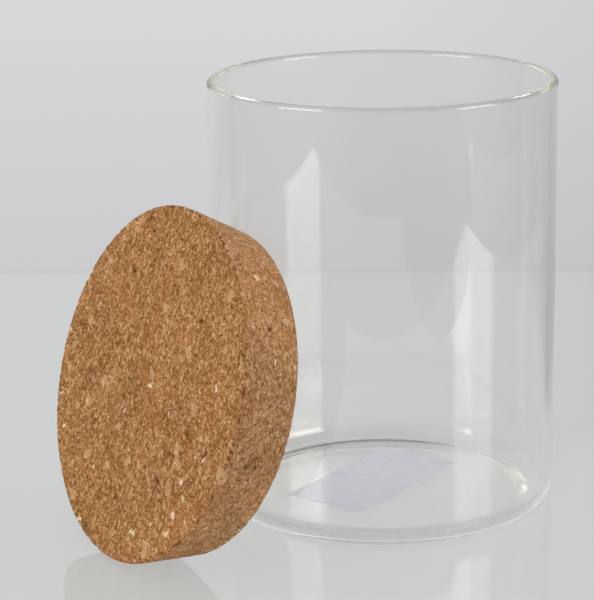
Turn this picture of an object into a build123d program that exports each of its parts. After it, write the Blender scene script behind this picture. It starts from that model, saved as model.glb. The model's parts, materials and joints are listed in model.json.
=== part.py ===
from build123d import *
import os
from math import atan2, cos, pi, radians, sin, sqrt

# Straight-sided glass jar with a tapered cork lid, standing open.
# Millimetres, +Z up. The origin is the middle of the jar's foot ring, on the surface it stands on.
# +X is to the right of the front view and -Y faces its viewer.
# The lid is off: it stands on the same surface and leans back against the jar's wall.

# Jar: one piece of borosilicate tube, closed at the bottom, with a fire-polished rim
jar_diameter = 100.0
jar_height = 124.5
wall_thickness = 2.5
base_thickness = 2.8
heel_radius = 5.5           # outside corner between wall and base
inner_heel_radius = 3.2     # the same corner inside
inner_heel_flats = 3        # straight steps that stand for that hidden curve
foot_width = 2.5            # flat ring that touches the table
push_up_height = 1.2        # how far the middle of the base stands off the table
push_up_run = 2.5           # width of the step from the foot ring up to the middle

# Cork lid: one tapered disc of pressed cork grain
lid_top_diameter = 99.0     # outer face, which stays above the rim
lid_plug_diameter = 91.0    # inner face, which goes into the mouth
lid_thickness = 19.5
lid_edge_bevel = 0.6        # worn edge round both faces

# Label: a blank paper sticker under the base, inside the push-up
label_length = 52.0
label_width = 27.0
label_thickness = 0.12
label_corner_radius = 1.0
label_angle = 56.5          # degrees from +X, of its long side
label_centre = (-3.0, 5.5)

# How the lid leans on the jar
lean_angle = 16.8           # degrees that its faces lean back from upright
lean_direction = 213.6      # degrees from +X, the way its outer face looks
lean_side_shift = 5.7       # how far its middle stands to one side of the jar's middle line
wall_gap = 0.3              # between the lid's edge and the glass, and over the whole lift

jar_radius = jar_diameter / 2
inner_radius = jar_radius - wall_thickness
foot_outer_radius = jar_radius - heel_radius
foot_inner_radius = foot_outer_radius - foot_width
recess_radius = foot_inner_radius - push_up_run
rim_radius = wall_thickness / 2
rim_height = jar_height - rim_radius
plug_radius = lid_plug_diameter / 2
top_radius = lid_top_diameter / 2


def inner_heel_points():
    """Points round the inside corner, from the wall down to the floor."""
    centre_radius = inner_radius - inner_heel_radius
    centre_height = base_thickness + inner_heel_radius
    points = []
    for step in range(inner_heel_flats + 1):
        turn = pi / 2 * step / inner_heel_flats
        radius = centre_radius + inner_heel_radius * cos(turn)
        points.append((radius, centre_height - inner_heel_radius * sin(turn)))
    return points


def make_jar():
    """The glass, turned from its half section: foot, heel, wall, round rim and inside."""
    middle = (0, push_up_height)
    floor_height = base_thickness + push_up_height
    underside = [middle, (recess_radius, push_up_height), (foot_inner_radius, 0), (foot_outer_radius, 0)]
    floor = [(foot_inner_radius, base_thickness), (recess_radius, floor_height), (0, floor_height)]
    with BuildPart() as jar:
        with BuildSketch(Plane.XZ):
            with BuildLine():
                Polyline(underside)
                CenterArc((foot_outer_radius, heel_radius), heel_radius, -90, 90)
                Line((jar_radius, heel_radius), (jar_radius, rim_height))
                CenterArc((jar_radius - rim_radius, rim_height), rim_radius, 0, 180)
                Polyline([(inner_radius, rim_height)] + inner_heel_points() + floor + [middle])
            make_face()
        revolve(axis=Axis.Z)
    return jar.part


def lean_plane():
    """The plane of the lid's inner face as it leans: its bevel on the table, its top edge at the glass.

    The bevel has two edge circles, and whichever reaches further sets the height and the distance.
    """
    taper = atan2(top_radius - plug_radius, lid_thickness)
    bevel_radius = plug_radius + lid_edge_bevel * sin(taper)
    edge_circles = [(plug_radius - lid_edge_bevel, 0), (bevel_radius, lid_edge_bevel * cos(taper))]
    lean = radians(lean_angle)
    turn = radians(lean_direction)
    reach = jar_radius + wall_gap
    tries = 720
    height = 0
    distance = 0
    for radius, rise in edge_circles:
        height = max(height, radius * cos(lean) - rise * sin(lean))
        for step in range(tries):
            angle = pi * step / tries
            side = lean_side_shift + radius * cos(angle)
            if abs(side) < reach:
                back = radius * sin(lean) * sin(angle) - rise * cos(lean)
                distance = max(distance, back + sqrt(reach**2 - side**2))
    out = Vector(cos(turn), sin(turn), 0)
    across = Vector(-sin(turn), cos(turn), 0)
    up = Vector(0, 0, 1)
    centre = out * distance + across * lean_side_shift + up * height
    return Plane(origin=centre, x_dir=across, z_dir=out * cos(lean) + up * sin(lean))


def make_lid():
    """The tapered disc, with its inner face on the leaning plane."""
    with BuildPart() as lid:
        with BuildSketch(Plane.XZ):
            with BuildLine():
                outline = [(0, 0), (plug_radius, 0), (top_radius, lid_thickness), (0, lid_thickness)]
                Polyline(outline, close=True)
            make_face()
        revolve(axis=Axis.Z)
        chamfer(lid.edges().filter_by(GeomType.CIRCLE), lid_edge_bevel)
    return lean_plane() * lid.part


def make_label():
    """The sticker, stuck flat to the underside of the pushed-up base."""
    face = Plane.XY.offset(push_up_height) * RectangleRounded(label_length, label_width, label_corner_radius)
    sticker = extrude(face, -label_thickness)
    return Location(label_centre) * Rotation(0, 0, label_angle) * sticker


nodes = {
    "glass_jar": make_jar(),
    "cork_lid": make_lid(),
    "base_label": make_label(),
}

os.makedirs("parts", exist_ok=True)
for name, shape in nodes.items():
    export_step(shape, f"parts/{name}.step")
    box = shape.bounding_box()
    print(name, "solids", len(shape.solids()), "volume", round(shape.volume, 1), "box", box.min, box.max)
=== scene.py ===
import json
from math import cos, pi, radians, sin

import bmesh
import bpy
from mathutils import Matrix, Vector, noise


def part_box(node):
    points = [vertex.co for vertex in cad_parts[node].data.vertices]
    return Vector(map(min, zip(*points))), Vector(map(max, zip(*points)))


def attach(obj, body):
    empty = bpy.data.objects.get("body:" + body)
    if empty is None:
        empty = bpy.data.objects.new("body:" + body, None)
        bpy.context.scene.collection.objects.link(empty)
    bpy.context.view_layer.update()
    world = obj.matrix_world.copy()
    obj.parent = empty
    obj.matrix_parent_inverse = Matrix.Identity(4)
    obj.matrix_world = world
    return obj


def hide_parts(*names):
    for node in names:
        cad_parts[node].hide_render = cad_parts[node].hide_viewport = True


# A straight-sided borosilicate jar, open, with its tapered cork lid leaning on the wall.
# Metres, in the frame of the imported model: +Z up, the jar's middle line is the Z axis, -Y faces the viewer.

MM = 0.001
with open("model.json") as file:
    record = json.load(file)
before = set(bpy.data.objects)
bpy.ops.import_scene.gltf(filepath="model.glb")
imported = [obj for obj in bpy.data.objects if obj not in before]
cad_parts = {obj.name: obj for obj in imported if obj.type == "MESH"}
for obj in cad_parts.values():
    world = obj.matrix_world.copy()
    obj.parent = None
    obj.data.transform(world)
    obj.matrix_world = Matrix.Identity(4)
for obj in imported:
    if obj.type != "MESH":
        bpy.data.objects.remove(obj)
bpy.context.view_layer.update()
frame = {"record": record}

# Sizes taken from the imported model
jar_low, jar_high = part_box("glass_jar")
lid_low, lid_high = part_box("cork_lid")
label_low, label_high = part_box("base_label")
mounts = {mount["name"]: mount for mount in frame["record"]["mounts"]}
jar_radius = (jar_high.x - jar_low.x) / 2
jar_height = jar_high.z
bore_radius = mounts["mouth"]["dims"]["r_mm"] * MM
wall = jar_radius - bore_radius


def srgb(code):
    """A colour written as six hex digits, as linear red, green, blue and alpha."""
    channels = [int(code[place:place + 2], 16) / 255 for place in (0, 2, 4)]
    return [c / 12.92 if c <= 0.04045 else ((c + 0.055) / 1.055) ** 2.4 for c in channels] + [1]


def add(tree, kind, inputs=None, **settings):
    """Adds a node, gives it its settings, and sets or links its inputs."""
    made = tree.nodes.new(kind)
    for name, value in settings.items():
        setattr(made, name, value)
    for name, value in (inputs or {}).items():
        if isinstance(value, bpy.types.NodeSocket):
            tree.links.new(value, made.inputs[name])
        else:
            made.inputs[name].default_value = value
    return made


def new_material(name):
    """An empty node material and its output node."""
    material = bpy.data.materials.new(name)
    material.use_nodes = True
    material.node_tree.nodes.clear()
    return material, add(material.node_tree, "ShaderNodeOutputMaterial")


def piece(name, bm, material, smooth=True):
    """Makes an object of a finished bmesh, with its place in its mesh."""
    mesh = bpy.data.meshes.new(name)
    bm.to_mesh(mesh)
    bm.free()
    for polygon in mesh.polygons:
        polygon.use_smooth = smooth
    mesh.materials.append(material)
    made = bpy.data.objects.new(name, mesh)
    bpy.context.scene.collection.objects.link(made)
    return made


# Camera, fitted to the jar's rim and base and to the lid's outline in the photograph
PHOTO_LONG_SIDE = 600
FOCAL_PIXELS = 2342
SENSOR = 36
CAMERA_PLACE = Vector((-1.78, -659.72, 236.48)) * MM
CAMERA_PITCH = radians(15.059)
CAMERA_YAW = radians(2.018)
CAMERA_ROLL = radians(-0.795)

camera = bpy.data.cameras.new("photo_camera")
camera.sensor_width = SENSOR
camera.lens = SENSOR * FOCAL_PIXELS / PHOTO_LONG_SIDE
camera.clip_start = 0.01
camera.clip_end = 20
camera_object = bpy.data.objects.new("photo_camera", camera)
turn = Matrix.Rotation(CAMERA_YAW, 4, "Z") @ Matrix.Rotation(pi / 2 - CAMERA_PITCH, 4, "X")
turn = turn @ Matrix.Rotation(CAMERA_ROLL, 4, "Z")
camera_object.matrix_world = Matrix.Translation(CAMERA_PLACE) @ turn
bpy.context.scene.collection.objects.link(camera_object)
bpy.context.scene.camera = camera_object


# Borosilicate glass: drawn tube with a fire-polished rim.
# Clear and mirror smooth, with a trace of yellow-green where the eye looks along the wall.
GLASS_IOR = 1.47
GLASS_TINT_PER_METRE = 2.5


def borosilicate_glass():
    material, output = new_material("borosilicate_glass")
    tree = material.node_tree
    glass = add(tree, "ShaderNodeBsdfPrincipled", {
        "Base Color": srgb("FEFEFD"),
        "Roughness": 0.0,
        "IOR": GLASS_IOR,
        "Transmission Weight": 1.0,
    })
    clear = add(tree, "ShaderNodeBsdfTransparent")
    path = add(tree, "ShaderNodeLightPath")
    mixed = add(tree, "ShaderNodeMixShader", {
        0: path.outputs["Is Shadow Ray"], 1: glass.outputs[0], 2: clear.outputs[0],
    })
    tint = add(tree, "ShaderNodeVolumeAbsorption", {
        "Color": srgb("E7E8DC"), "Density": GLASS_TINT_PER_METRE,
    })
    tree.links.new(mixed.outputs[0], output.inputs["Surface"])
    tree.links.new(tint.outputs[0], output.inputs["Volume"])
    return material


# Pressed cork: bark granules of about 0.5 to 3 mm, bound hot into a block, then sawn and sanded.
# The eye sees honey-brown grain with dark joints, pale slivers, a few cream chips,
# reddish clouds and dark pits.
FINE_GRAIN = 0.62 * MM
COARSE_GRAIN = 1.5 * MM
DUST_GRAIN = 0.3 * MM
SLIVER_WIDTH = 0.65 * MM
SPECK_SPACING = 1.3 * MM
LARGE_CHIP = 2.6 * MM
CLOUD_SIZE = 13 * MM
LATHE_LINES = 1.6 * MM
WANDER_SIZE = 1.6 * MM
WANDER = 0.9 * MM
GRAIN_RELIEF = 0.12 * MM
# Painted light and shade on the turned side: a little darker round its shifted middle, lighter towards its
# top and bottom.
SIDE_LIGHT_SHIFT = 6 * MM
SIDE_LIGHT_FROM = 12 * MM
SIDE_LIGHT_FULL = 50 * MM


def pressed_cork():
    material, output = new_material("pressed_cork_granules")
    tree = material.node_tree
    place = add(tree, "ShaderNodeTexCoord").outputs["Object"]
    wander = add(tree, "ShaderNodeTexNoise", {"Vector": place, "Scale": 1 / WANDER_SIZE, "Detail": 2.0})
    shift = add(tree, "ShaderNodeVectorMath", {
        0: wander.outputs["Color"], 1: [WANDER] * 3, 2: [-WANDER / 2] * 3,
    }, operation="MULTIPLY_ADD")
    bent = add(tree, "ShaderNodeVectorMath", {0: place, 1: shift.outputs[0]}, operation="ADD").outputs[0]

    # Granules: each has a tone of its own, and a dark joint round it
    fine = add(tree, "ShaderNodeTexVoronoi", {"Vector": bent, "Scale": 1 / FINE_GRAIN})
    coarse = add(tree, "ShaderNodeTexVoronoi", {"Vector": bent, "Scale": 1 / COARSE_GRAIN})
    joints = add(tree, "ShaderNodeTexVoronoi", {
        "Vector": bent, "Scale": 1 / FINE_GRAIN,
    }, feature="DISTANCE_TO_EDGE").outputs["Distance"]
    fine_chance = add(tree, "ShaderNodeSeparateColor", {"Color": fine.outputs["Color"]}).outputs
    coarse_chance = add(tree, "ShaderNodeSeparateColor", {"Color": coarse.outputs["Color"]}).outputs
    dust = add(tree, "ShaderNodeTexNoise", {"Vector": place, "Scale": 1 / DUST_GRAIN, "Detail": 2.0})
    dust_tone = add(tree, "ShaderNodeMapRange", {
        "Value": dust.outputs["Fac"], "From Min": 0.3, "From Max": 0.7, "To Min": 0.0, "To Max": 0.36,
    })
    fine_tone = add(tree, "ShaderNodeMath", {
        0: fine_chance["Red"], 1: 0.5, 2: dust_tone.outputs[0],
    }, operation="MULTIPLY_ADD")
    tone = add(tree, "ShaderNodeMath", {
        0: coarse_chance["Green"], 1: 0.12, 2: fine_tone.outputs[0],
    }, operation="MULTIPLY_ADD")
    ramp = add(tree, "ShaderNodeValToRGB", {"Fac": tone.outputs[0]})
    tones = ramp.color_ramp
    tones.elements[0].position = 0.14
    tones.elements[0].color = srgb("5A3308")
    tones.elements[1].position = 0.95
    tones.elements[1].color = srgb("DEBA98")
    for position, code in ((0.5, "98693A"), (0.75, "B08558")):
        tones.elements.new(position).color = srgb(code)
    joint = add(tree, "ShaderNodeMapRange", {
        "Value": joints, "From Min": 0.0, "From Max": 0.09, "To Min": 0.45, "To Max": 0.0,
    })

    # Slivers: short splinters of bark that lie in all directions, most of them pale
    slivers = []
    for stretch, code in (
        ((1, 1, 0.3), "E0B98E"), ((0.3, 1, 1), "DDB488"), ((1, 0.3, 1), "E0B98E"), ((0.5, 1, 0.5), "6B3B16"),
    ):
        long = add(tree, "ShaderNodeVectorMath", {0: bent, 1: stretch}, operation="MULTIPLY")
        sliver = add(tree, "ShaderNodeTexVoronoi", {"Vector": long.outputs[0], "Scale": 1 / SLIVER_WIDTH})
        chance = add(tree, "ShaderNodeSeparateColor", {"Color": sliver.outputs["Color"]}).outputs["Blue"]
        rare = add(tree, "ShaderNodeMapRange", {
            "Value": chance, "From Min": 0.93, "From Max": 0.96, "To Min": 0.0, "To Max": 0.36,
        })
        slivers.append((rare.outputs[0], code))

    # Cream chips, dark specks, and the reddish grain that gathers in clouds
    small_chip = add(tree, "ShaderNodeMapRange", {
        "Value": coarse_chance["Red"], "From Min": 0.99, "From Max": 0.998, "To Min": 0.0, "To Max": 0.75,
    })
    chips = add(tree, "ShaderNodeTexVoronoi", {"Vector": bent, "Scale": 1 / LARGE_CHIP})
    chip_chance = add(tree, "ShaderNodeSeparateColor", {"Color": chips.outputs["Color"]}).outputs["Red"]
    large_chip = add(tree, "ShaderNodeMapRange", {
        "Value": chip_chance, "From Min": 0.96, "From Max": 0.99, "To Min": 0.0, "To Max": 0.4,
    })
    specks = add(tree, "ShaderNodeTexVoronoi", {"Vector": bent, "Scale": 1 / SPECK_SPACING})
    speck_chance = add(tree, "ShaderNodeSeparateColor", {"Color": specks.outputs["Color"]}).outputs["Red"]
    speck_rare = add(tree, "ShaderNodeMapRange", {
        "Value": speck_chance, "From Min": 0.5, "From Max": 0.7, "To Min": 0.0, "To Max": 0.8,
    })
    speck_near = add(tree, "ShaderNodeMapRange", {
        "Value": specks.outputs["Distance"], "From Min": 0.22, "From Max": 0.12,
    })
    speck = add(tree, "ShaderNodeMath", {
        0: speck_rare.outputs[0], 1: speck_near.outputs[0],
    }, operation="MULTIPLY")
    cloud = add(tree, "ShaderNodeTexNoise", {"Vector": place, "Scale": 1 / CLOUD_SIZE, "Detail": 3.0})
    clouds = add(tree, "ShaderNodeSeparateColor", {"Color": cloud.outputs["Color"]}).outputs
    reddish = add(tree, "ShaderNodeMapRange", {
        "Value": clouds["Green"], "From Min": 0.5, "From Max": 0.7, "To Min": 0.0, "To Max": 0.3,
    })
    pit = add(tree, "ShaderNodeAttribute", attribute_name="pit").outputs["Fac"]
    open_pit = add(tree, "ShaderNodeMath", {0: pit, 1: 0.75}, operation="MULTIPLY")

    # Turned side: fine pale lines round the disc, streaks of sanding dust and partly painted sheen. The side
    # also has painted light that makes it lighter at its top and bottom, and painted shade that makes it a
    # little darker round its middle.
    own = add(tree, "ShaderNodeAttribute", attribute_name="lid_place").outputs["Vector"]
    across = add(tree, "ShaderNodeVectorMath", {0: own, 1: (1, 1, 5)}, operation="MULTIPLY")
    lines = add(tree, "ShaderNodeTexNoise", {
        "Vector": across.outputs[0], "Scale": 1 / LATHE_LINES, "Detail": 2.0,
    })
    line = add(tree, "ShaderNodeMapRange", {
        "Value": lines.outputs["Fac"], "From Min": 0.42, "From Max": 0.62, "To Min": 0.0, "To Max": 0.42,
    })
    side = add(tree, "ShaderNodeAttribute", attribute_name="turned").outputs["Fac"]
    # Pale lines on the turned side: streaks of sanding dust, partly painted sheen.
    pale_lines_dust_and_sheen = add(tree, "ShaderNodeMath", {0: side, 1: line.outputs[0]}, operation="MULTIPLY")
    along = add(tree, "ShaderNodeSeparateXYZ", {"Vector": own})
    # Painted light and shade: the side is lit up towards its top and bottom and darkened round its middle.
    lower = add(tree, "ShaderNodeMath", {0: along.outputs["X"], 1: SIDE_LIGHT_SHIFT}, operation="ADD")
    off_middle = add(tree, "ShaderNodeMath", {0: lower.outputs[0]}, operation="ABSOLUTE")
    painted_side_light_and_shade = add(tree, "ShaderNodeMapRange", {
        "Value": off_middle.outputs[0], "From Min": SIDE_LIGHT_FROM, "From Max": SIDE_LIGHT_FULL,
        "To Min": -0.12, "To Max": 0.42,
    })

    colour = ramp.outputs["Color"]
    for share, code in slivers + [
        (reddish.outputs[0], "985A32"), (large_chip.outputs[0], "D6B48A"), (small_chip.outputs[0], "E0CCAA"),
        (joint.outputs[0], "56300A"), (pale_lines_dust_and_sheen.outputs[0], "CFA582"), (speck.outputs[0], "43230A"),
        (open_pit.outputs[0], "371C08"),
    ]:
        layer = add(tree, "ShaderNodeMix", {0: share, 6: colour, 7: srgb(code)}, data_type="RGBA")
        colour = layer.outputs[2]
    shade = add(tree, "ShaderNodeMapRange", {
        "Value": clouds["Red"], "From Min": 0.3, "From Max": 0.7, "To Min": 0.92, "To Max": 1.11,
    })
    # The cloud tone, times the painted light and shade on the turned side.
    cloud_tone_and_side_light = add(tree, "ShaderNodeMath", {
        0: side, 1: painted_side_light_and_shade.outputs[0], 2: shade.outputs[0],
    }, operation="MULTIPLY_ADD")
    shaded = add(tree, "ShaderNodeVectorMath", {0: colour, "Scale": cloud_tone_and_side_light.outputs[0]}, operation="SCALE")

    flat_top = add(tree, "ShaderNodeMapRange", {"Value": joints, "From Min": 0.0, "From Max": 0.15})
    relief = add(tree, "ShaderNodeMath", {0: flat_top.outputs[0], 1: fine_chance["Green"]}, operation="ADD")
    bump = add(tree, "ShaderNodeBump", {
        "Height": relief.outputs[0], "Strength": 0.35, "Distance": GRAIN_RELIEF,
    })
    cork = add(tree, "ShaderNodeBsdfPrincipled", {
        "Base Color": shaded.outputs[0], "Roughness": 0.8, "Specular IOR Level": 0.1,
        "Normal": bump.outputs[0],
    })
    tree.links.new(cork.outputs[0], output.inputs["Surface"])
    return material


# Paper label: coated white sticker stock with a faint lilac cast, seen through the base.
# The gum behind it lies in uneven stripes, and the paper's fibres are a little cloudy.
PAPER_CLOUD = 3 * MM
GLUE_STRIPE = 9 * MM


def label_paper():
    material, output = new_material("label_paper")
    tree = material.node_tree
    place = add(tree, "ShaderNodeTexCoord").outputs["Object"]
    fibres = add(tree, "ShaderNodeTexNoise", {"Vector": place, "Scale": 1 / PAPER_CLOUD, "Detail": 4.0})
    glue = add(tree, "ShaderNodeTexWave", {
        "Vector": place, "Scale": 1 / GLUE_STRIPE, "Distortion": 4.0, "Detail": 2.0, "Detail Scale": 0.4,
    }, bands_direction="DIAGONAL")
    thin = add(tree, "ShaderNodeMath", {
        0: glue.outputs["Fac"], 1: 0.25, 2: fibres.outputs["Fac"],
    }, operation="MULTIPLY_ADD")
    ramp = add(tree, "ShaderNodeValToRGB", {"Fac": thin.outputs[0]})
    tones = ramp.color_ramp
    tones.elements[0].position = 0.3
    tones.elements[0].color = srgb("EBE9F3")
    tones.elements[1].position = 0.95
    tones.elements[1].color = srgb("E0DEE9")
    paper = add(tree, "ShaderNodeBsdfPrincipled", {"Base Color": ramp.outputs["Color"], "Roughness": 0.6})
    tree.links.new(paper.outputs[0], output.inputs["Surface"])
    return material


# Jar
HEEL_RADIUS = 6.1 * MM
INNER_HEEL_RADIUS = 4.3 * MM
BASE_THICKNESS = 2.55 * MM
FOOT_WIDTH = 0.9 * MM
PUSH_UP = 1.2 * MM
PUSH_UP_RUN = 3.8 * MM
STEP_ROUNDING = 0.6 * MM
RIM_ROUNDING = wall / 2 * 0.999
HOLDING_EDGE = 0.4 * MM         # short straight edge that keeps the smooth shading of a rounding off the wall
RIM_SEGMENTS = 20
HEEL_SEGMENTS = 16
STEP_SEGMENTS = 8
TURN_STEPS = 480
SEAM = 0.001 * MM


def make_jar(material):
    """The glass, spun from its half section."""
    foot_outer = jar_radius - HEEL_RADIUS
    foot_inner = foot_outer - FOOT_WIDTH
    recess = foot_inner - PUSH_UP_RUN
    rim_low = jar_height - wall / 2 - HOLDING_EDGE
    corners = [
        (0, PUSH_UP, 0, 0),
        (recess, PUSH_UP, STEP_ROUNDING, STEP_SEGMENTS),
        (foot_inner, 0, STEP_ROUNDING, STEP_SEGMENTS),
        (jar_radius, 0, HEEL_RADIUS, HEEL_SEGMENTS),
        (jar_radius, HEEL_RADIUS + HOLDING_EDGE, 0, 0),
        (jar_radius, rim_low, 0, 0),
        (jar_radius, jar_height, RIM_ROUNDING, RIM_SEGMENTS),
        (bore_radius, jar_height, RIM_ROUNDING, RIM_SEGMENTS),
        (bore_radius, rim_low, 0, 0),
        (bore_radius, BASE_THICKNESS + INNER_HEEL_RADIUS + HOLDING_EDGE, 0, 0),
        (bore_radius, BASE_THICKNESS, INNER_HEEL_RADIUS, HEEL_SEGMENTS),
        (0, BASE_THICKNESS, 0, 0),
    ]
    bm = bmesh.new()
    points = [bm.verts.new((radius, 0, height)) for radius, height, _, _ in corners]
    for start, end in zip(points, points[1:]):
        bm.edges.new((start, end))
    for point, (_, _, rounding, segments) in zip(points, corners):
        if rounding:
            bmesh.ops.bevel(
                bm, geom=[point], offset=rounding, offset_type="OFFSET", segments=segments,
                profile=0.5, affect="VERTICES", material=-1,
            )
    bmesh.ops.spin(
        bm, geom=bm.verts[:] + bm.edges[:], cent=(0, 0, 0), axis=(0, 0, 1), angle=2 * pi,
        steps=TURN_STEPS, use_merge=True,
    )
    bmesh.ops.remove_doubles(bm, verts=bm.verts, dist=SEAM)
    bmesh.ops.recalc_face_normals(bm, faces=bm.faces)
    return piece("jar_glass", bm, material)


# Lid
LID_TOP_RADIUS = 49.5 * MM
LID_PLUG_RADIUS = 45.5 * MM
LID_THICKNESS = 19.5 * MM
LID_EDGE = 0.6 * MM
LEAN_ANGLE = radians(16.8)
LEAN_DIRECTION = radians(213.6)
VOXEL = 0.5 * MM
GRANULE = 1.1 * MM
CHIP = 2.6 * MM
JOINT_DEPTH = 0.14 * MM
JOINT_REACH = 0.35      # of a granule
GRANULE_STEP = 0.1 * MM
PIT_DEPTH = 0.35 * MM
PIT_REACH = 0.42        # of a chip
CHIP_KEPT = 0.93        # chips whose random number is above this have fallen out
EDGE_TORN = 0.25        # share of the granules torn out right on an edge
CRUMBLE = 1.0 * MM
GRAIN_SEED = 7          # without a seed the wander of the granules differs from run to run


def edge_wear(point):
    """How near a point of the unturned lid is to the edge of either face, from 0 to 1."""
    radius = Vector(point.xy).length
    top = Vector((radius - LID_TOP_RADIUS, point.z - LID_THICKNESS / 2)).length
    plug = Vector((radius - LID_PLUG_RADIUS, point.z + LID_THICKNESS / 2)).length
    return max(0, 1 - min(top, plug) / CRUMBLE)


def pit_depth(point):
    """How far the cork surface lies inside its smooth outline at a point, and how much of that is a pit."""
    wander = noise.noise_vector(point / WANDER_SIZE) * 0.3
    gaps, seeds = noise.voronoi(point / GRANULE + wander)
    joint = max(0, 1 - (gaps[1] - gaps[0]) / JOINT_REACH)
    step = 0.5 + noise.cell(seeds[0] * 7.3) / 2
    away, holes = noise.voronoi(point / CHIP)
    lost = noise.cell(holes[0] * 5.1) > CHIP_KEPT
    torn = 0.5 + noise.cell(seeds[0] * 3.7) / 2 < EDGE_TORN * edge_wear(point)
    pit = 1 if torn else max(0, 1 - away[0] / PIT_REACH) * 2 * lost
    pit = min(1, pit)
    return JOINT_DEPTH * joint**2 + GRANULE_STEP * step + PIT_DEPTH * pit, pit


def make_lid(material):
    """The tapered cork disc, leaning as the CAD lid does, with granules, open joints and pits."""
    bm = bmesh.new()
    bmesh.ops.create_cone(
        bm, cap_ends=True, segments=TURN_STEPS, radius1=LID_PLUG_RADIUS, radius2=LID_TOP_RADIUS,
        depth=LID_THICKNESS,
    )
    rims = [edge for edge in bm.edges if len({round(v.co.z, 6) for v in edge.verts}) == 1]
    bmesh.ops.bevel(
        bm, geom=rims, offset=LID_EDGE, offset_type="OFFSET", segments=1, profile=0.5,
        affect="EDGES", material=-1,
    )
    lean = Matrix.Rotation(LEAN_DIRECTION, 4, "Z") @ Matrix.Rotation(pi / 2 - LEAN_ANGLE, 4, "Y")
    leaning = [lean @ v.co for v in bm.verts]
    low = Vector([min(co[axis] for co in leaning) for axis in range(3)])
    high = Vector([max(co[axis] for co in leaning) for axis in range(3)])
    place = Matrix.Translation((lid_low + lid_high - low - high) / 2) @ lean

    made = piece("lid_cork", bm, material)
    remesh = made.modifiers.new("even_grid", "REMESH")
    remesh.mode = "VOXEL"
    remesh.voxel_size = VOXEL
    even = bpy.data.meshes.new_from_object(made.evaluated_get(bpy.context.evaluated_depsgraph_get()))
    made.modifiers.clear()
    bm = bmesh.new()
    bm.from_mesh(even)
    bpy.data.meshes.remove(even)
    bm.normal_update()
    pits = bm.verts.layers.float.new("pit")
    turned = bm.verts.layers.float.new("turned")
    own_places = bm.verts.layers.float_vector.new("lid_place")
    noise.seed_set(GRAIN_SEED)
    moves = []
    for v in bm.verts:
        depth, v[pits] = pit_depth(v.co)
        v[turned] = 1 - min(1, abs(v.normal.z) * 1.4)
        v[own_places] = v.co
        moves.append((v, v.co - v.normal * depth))
    for v, co in moves:
        v.co = co
    bmesh.ops.transform(bm, matrix=place, verts=bm.verts)
    for face in bm.faces:
        face.smooth = True
    bm.to_mesh(made.data)
    bm.free()
    return made


# Label
LABEL_LENGTH = 52 * MM
LABEL_WIDTH = 27 * MM
LABEL_CORNER = 1 * MM
LABEL_CORNER_SEGMENTS = 4
LABEL_ANGLE = radians(56.5)
LABEL_GRIP = 0.02 * MM


def make_label(material):
    """The sticker. Its gummed face is a hair inside the glass, so that no air shows between them."""
    thickness = label_high.z - label_low.z
    bm = bmesh.new()
    size = Matrix.Diagonal((LABEL_LENGTH, LABEL_WIDTH, thickness, 1))
    bmesh.ops.create_cube(bm, size=1, matrix=size)
    uprights = [edge for edge in bm.edges if abs(edge.verts[0].co.z - edge.verts[1].co.z) > thickness / 2]
    bmesh.ops.bevel(
        bm, geom=uprights, offset=LABEL_CORNER, offset_type="OFFSET", segments=LABEL_CORNER_SEGMENTS,
        profile=0.5, affect="EDGES", material=-1,
    )
    bmesh.ops.transform(bm, matrix=Matrix.Rotation(LABEL_ANGLE, 4, "Z"), verts=bm.verts)
    middle = (label_low + label_high) / 2
    bmesh.ops.translate(bm, verts=bm.verts, vec=middle + Vector((0, 0, LABEL_GRIP)))
    return piece("label_sticker", bm, material, smooth=False)


jar = make_jar(borosilicate_glass())
lid = make_lid(pressed_cork())
label = make_label(label_paper())

for made, body, node, slot in (
    (jar, "jar", "glass_jar", "clear_glass"),
    (lid, "lid", "cork_lid", "pressed_cork"),
    (label, "jar", "base_label", "label_paper"),
):
    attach(made, body)
    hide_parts(node)

# Table: a pale glossy sheet of light-passing acrylic, whose back edge is the line behind the jar.
# Light comes up through it, so shadows on it are faint.
# Less comes up at its back edge and in its far right corner.
TABLE_LEFT = -420 * MM
TABLE_RIGHT = 352 * MM
TABLE_FRONT = -262 * MM
TABLE_BACK = 269 * MM
TABLE_THICKNESS = 8 * MM
TABLE_AIR = 0.05 * MM
TABLE_GLOW_FRONT = 0.46
TABLE_GLOW_BACK = 0.36


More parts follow.
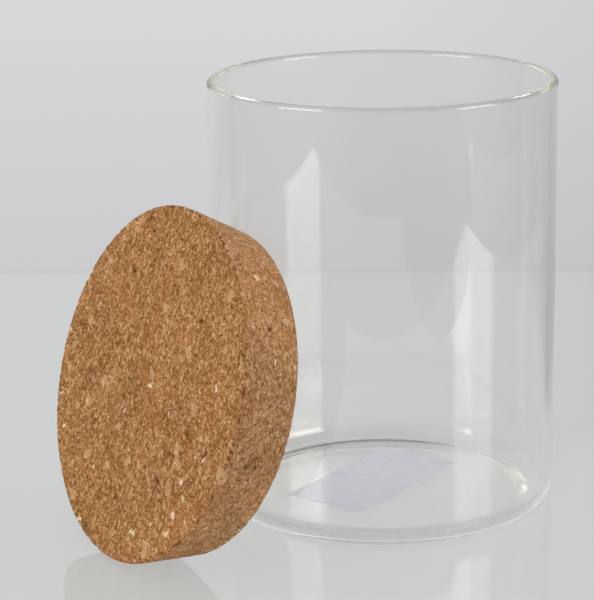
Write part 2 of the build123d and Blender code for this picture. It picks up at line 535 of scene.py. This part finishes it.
def table_sheet():
    material, output = new_material("glossy_table_sheet")
    tree = material.node_tree
    place = add(tree, "ShaderNodeTexCoord").outputs["Object"]
    split = add(tree, "ShaderNodeSeparateXYZ", {"Vector": place})
    glow = add(tree, "ShaderNodeMapRange", {
        "Value": split.outputs["Y"], "From Min": TABLE_FRONT, "From Max": TABLE_BACK,
        "To Min": TABLE_GLOW_FRONT, "To Max": TABLE_GLOW_BACK,
    })
    slant = add(tree, "ShaderNodeMath", {
        0: split.outputs["X"], 1: -0.6, 2: split.outputs["Y"],
    }, operation="MULTIPLY_ADD")
    far_off = add(tree, "ShaderNodeMapRange", {
        "Value": slant.outputs[0], "From Min": -10 * MM, "From Max": 20 * MM,
    })
    right_side = add(tree, "ShaderNodeMapRange", {
        "Value": split.outputs["X"], "From Min": 20 * MM, "From Max": 120 * MM,
    })
    fading = add(tree, "ShaderNodeValToRGB", {"Fac": right_side.outputs[0]})
    fades = fading.color_ramp
    fades.elements[0].color = srgb("000000")
    fades.elements[1].position = 0.92
    fades.elements[1].color = srgb("AAAAAA")
    fades.elements.new(0.62).color = srgb("585858")
    back_edge = add(tree, "ShaderNodeMapRange", {
        "Value": split.outputs["Y"], "From Min": 258 * MM, "From Max": 264 * MM, "To Min": 1, "To Max": 0.9,
    })
    unlit = add(tree, "ShaderNodeMath", {
        0: far_off.outputs[0], 1: fading.outputs["Color"],
    }, operation="MULTIPLY")
    lit = add(tree, "ShaderNodeMath", {0: back_edge.outputs[0], 1: unlit.outputs[0]}, operation="SUBTRACT")
    light = add(tree, "ShaderNodeMath", {0: glow.outputs[0], 1: lit.outputs[0]}, operation="MULTIPLY")
    sheet = add(tree, "ShaderNodeBsdfPrincipled", {
        "Base Color": srgb("5E605F"), "Roughness": 0.03, "IOR": 1.4,
        "Emission Color": srgb("FDFFFE"), "Emission Strength": light.outputs[0],
    })
    tree.links.new(sheet.outputs[0], output.inputs["Surface"])
    return material


def make_table():
    bm = bmesh.new()
    size = Vector((TABLE_RIGHT - TABLE_LEFT, TABLE_BACK - TABLE_FRONT, TABLE_THICKNESS))
    twice_height = -TABLE_THICKNESS - 2 * TABLE_AIR
    middle = Vector((TABLE_RIGHT + TABLE_LEFT, TABLE_BACK + TABLE_FRONT, twice_height)) / 2
    bmesh.ops.create_cube(bm, size=1, matrix=Matrix.Translation(middle) @ Matrix.Diagonal(size).to_4x4())
    return piece("table", bm, table_sheet(), smooth=False)


# Backdrop: a paper roll behind the table.
# Its glow holds painted light and shade: it is a little darker low down and to the right, and lighter above
# what the camera sees.
BACKDROP_DISTANCE = 1500 * MM
BACKDROP_LEFT = -2500 * MM
BACKDROP_RIGHT = 2500 * MM
BACKDROP_HIGH = 1800 * MM
BACKDROP_LOW = -1200 * MM


def backdrop_paper():
    material, output = new_material("grey_backdrop_paper")
    tree = material.node_tree
    place = add(tree, "ShaderNodeTexCoord").outputs["Object"]
    split = add(tree, "ShaderNodeSeparateXYZ", {"Vector": place})
    # Painted shade low down and painted light high up.
    fall = add(tree, "ShaderNodeMapRange", {
        "Value": split.outputs["Z"], "From Min": -320 * MM, "From Max": -70 * MM, "To Min": 0.88, "To Max": 1,
    })
    lit_top = add(tree, "ShaderNodeMapRange", {
        "Value": split.outputs["Z"], "From Min": 50 * MM, "From Max": 300 * MM, "To Min": 1, "To Max": 1.12,
    })
    strength = add(tree, "ShaderNodeMath", {0: fall.outputs[0], 1: lit_top.outputs[0]}, operation="MULTIPLY")
    across = add(tree, "ShaderNodeMapRange", {
        "Value": split.outputs["X"], "From Min": -1000 * MM, "From Max": 1000 * MM, "To Min": 0, "To Max": 1,
    })
    # Painted shade towards the right, where less light falls on the paper.
    ramp = add(tree, "ShaderNodeValToRGB", {"Fac": across.outputs[0]})
    tones = ramp.color_ramp
    tones.elements[0].position = 0.1
    tones.elements[0].color = srgb("D6D7DA")
    tones.elements[1].position = 0.8
    tones.elements[1].color = srgb("BFBFC1")
    for position, tone in ((0.31, "D7D7D9"), (0.5, "D7D7D9")):
        tones.elements.new(position).color = srgb(tone)
    glow = add(tree, "ShaderNodeEmission", {"Color": ramp.outputs["Color"], "Strength": strength.outputs[0]})
    tree.links.new(glow.outputs[0], output.inputs["Surface"])
    return material


def make_backdrop():
    bm = bmesh.new()
    size = Matrix.Diagonal((BACKDROP_RIGHT - BACKDROP_LEFT, BACKDROP_HIGH - BACKDROP_LOW, 1, 1))
    middle = Vector((BACKDROP_RIGHT + BACKDROP_LEFT, 2 * BACKDROP_DISTANCE, BACKDROP_HIGH + BACKDROP_LOW)) / 2
    upright = Matrix.Translation(middle) @ Matrix.Rotation(pi / 2, 4, "X") @ size
    bmesh.ops.create_grid(bm, x_segments=1, y_segments=1, size=0.5, matrix=upright)
    return piece("backdrop", bm, backdrop_paper(), smooth=False)


make_table()
make_backdrop()


# Lamps: two upright softboxes in front of the table, one each side
LAMP_DISTANCE = 1.1
LAMP_HEIGHT = 0.6
LAMP_MIDDLE = 0.3
LAMP_RADIANCE = 6


def softbox(name, azimuth, width):
    """An upright soft lamp that faces the jar. Azimuth is from the viewer's side, to the right."""
    lamp = bpy.data.lights.new(name, "AREA")
    lamp.shape = "RECTANGLE"
    lamp.size = width
    lamp.size_y = LAMP_HEIGHT
    lamp.energy = LAMP_RADIANCE * pi * width * LAMP_HEIGHT
    made = bpy.data.objects.new(name, lamp)
    away = Vector((sin(azimuth), -cos(azimuth), 0))
    facing = (-away).to_track_quat("-Z", "Y").to_matrix().to_4x4()
    made.matrix_world = Matrix.Translation(away * LAMP_DISTANCE + Vector((0, 0, LAMP_MIDDLE))) @ facing
    made.visible_camera = False
    bpy.context.scene.collection.objects.link(made)


softbox("softbox_right", azimuth=radians(61.5), width=0.56)
softbox("softbox_left", azimuth=radians(-53.5), width=0.62)

# Room: soft pale light, also for all that is seen straight through the glass.
# A mirrored way, off the glass or the table, ends in the unlit studio round the lamps.
# It is darkest in front and overhead, and paler to the sides and high up on the left.
PALE_ROOM = 0.62
CEILING = 0.85
STUDIO_FRONT = 0.1
STUDIO_SIDES = 0.38
STUDIO_OVERHEAD = 0.08
STUDIO_HIGH_LEFT = 0.6

world = bpy.data.worlds.new("studio_room")
world.use_nodes = True
bpy.context.scene.world = world
room = world.node_tree
direction = add(room, "ShaderNodeTexCoord").outputs["Generated"]
ways = add(room, "ShaderNodeSeparateXYZ", {"Vector": direction}).outputs
path = add(room, "ShaderNodeLightPath").outputs
above = add(room, "ShaderNodeMapRange", {
    "Value": ways["Z"], "From Min": 0.3, "From Max": 0.6, "To Min": PALE_ROOM, "To Max": CEILING,
})
sideways = add(room, "ShaderNodeMath", {0: ways["X"]}, operation="ABSOLUTE")
round_about = add(room, "ShaderNodeMapRange", {
    "Value": sideways.outputs[0], "From Min": 0.25, "From Max": 0.8,
    "To Min": STUDIO_FRONT, "To Max": STUDIO_SIDES,
})
overhead = add(room, "ShaderNodeMapRange", {
    "Value": ways["X"], "From Min": -0.2, "From Max": -0.4,
    "To Min": STUDIO_OVERHEAD, "To Max": STUDIO_HIGH_LEFT,
})
studio = add(room, "ShaderNodeMapRange", {
    "Value": ways["Z"], "From Min": 0.4, "From Max": 0.6,
    "To Min": round_about.outputs[0], "To Max": overhead.outputs[0],
})
clear_way = add(room, "ShaderNodeMath", {
    0: path["Is Glossy Ray"], 1: path["Is Transmission Ray"],
}, operation="MAXIMUM")
mirrored = add(room, "ShaderNodeMath", {0: path["Glossy Depth"], 1: 0.5}, operation="GREATER_THAN")
unspread = add(room, "ShaderNodeMath", {0: path["Diffuse Depth"], 1: 0.5}, operation="LESS_THAN")
off_glass = add(room, "ShaderNodeMath", {
    0: clear_way.outputs[0], 1: mirrored.outputs[0],
}, operation="MULTIPLY")
dark = add(room, "ShaderNodeMath", {0: off_glass.outputs[0], 1: unspread.outputs[0]}, operation="MULTIPLY")
strength = add(room, "ShaderNodeMapRange", {
    "Value": dark.outputs[0], "To Min": above.outputs[0], "To Max": studio.outputs[0],
})
sky = room.nodes["Background"]
sky.inputs["Color"].default_value = (1, 1, 1, 1)
room.links.new(strength.outputs[0], sky.inputs["Strength"])

bpy.context.scene.view_settings.view_transform = "Standard"

# Light turns many times inside the rim and the base before it leaves the glass
LIGHT_TURNS = 1000
paths = bpy.context.scene.cycles
paths.max_bounces = LIGHT_TURNS
paths.transmission_bounces = LIGHT_TURNS
paths.glossy_bounces = LIGHT_TURNS
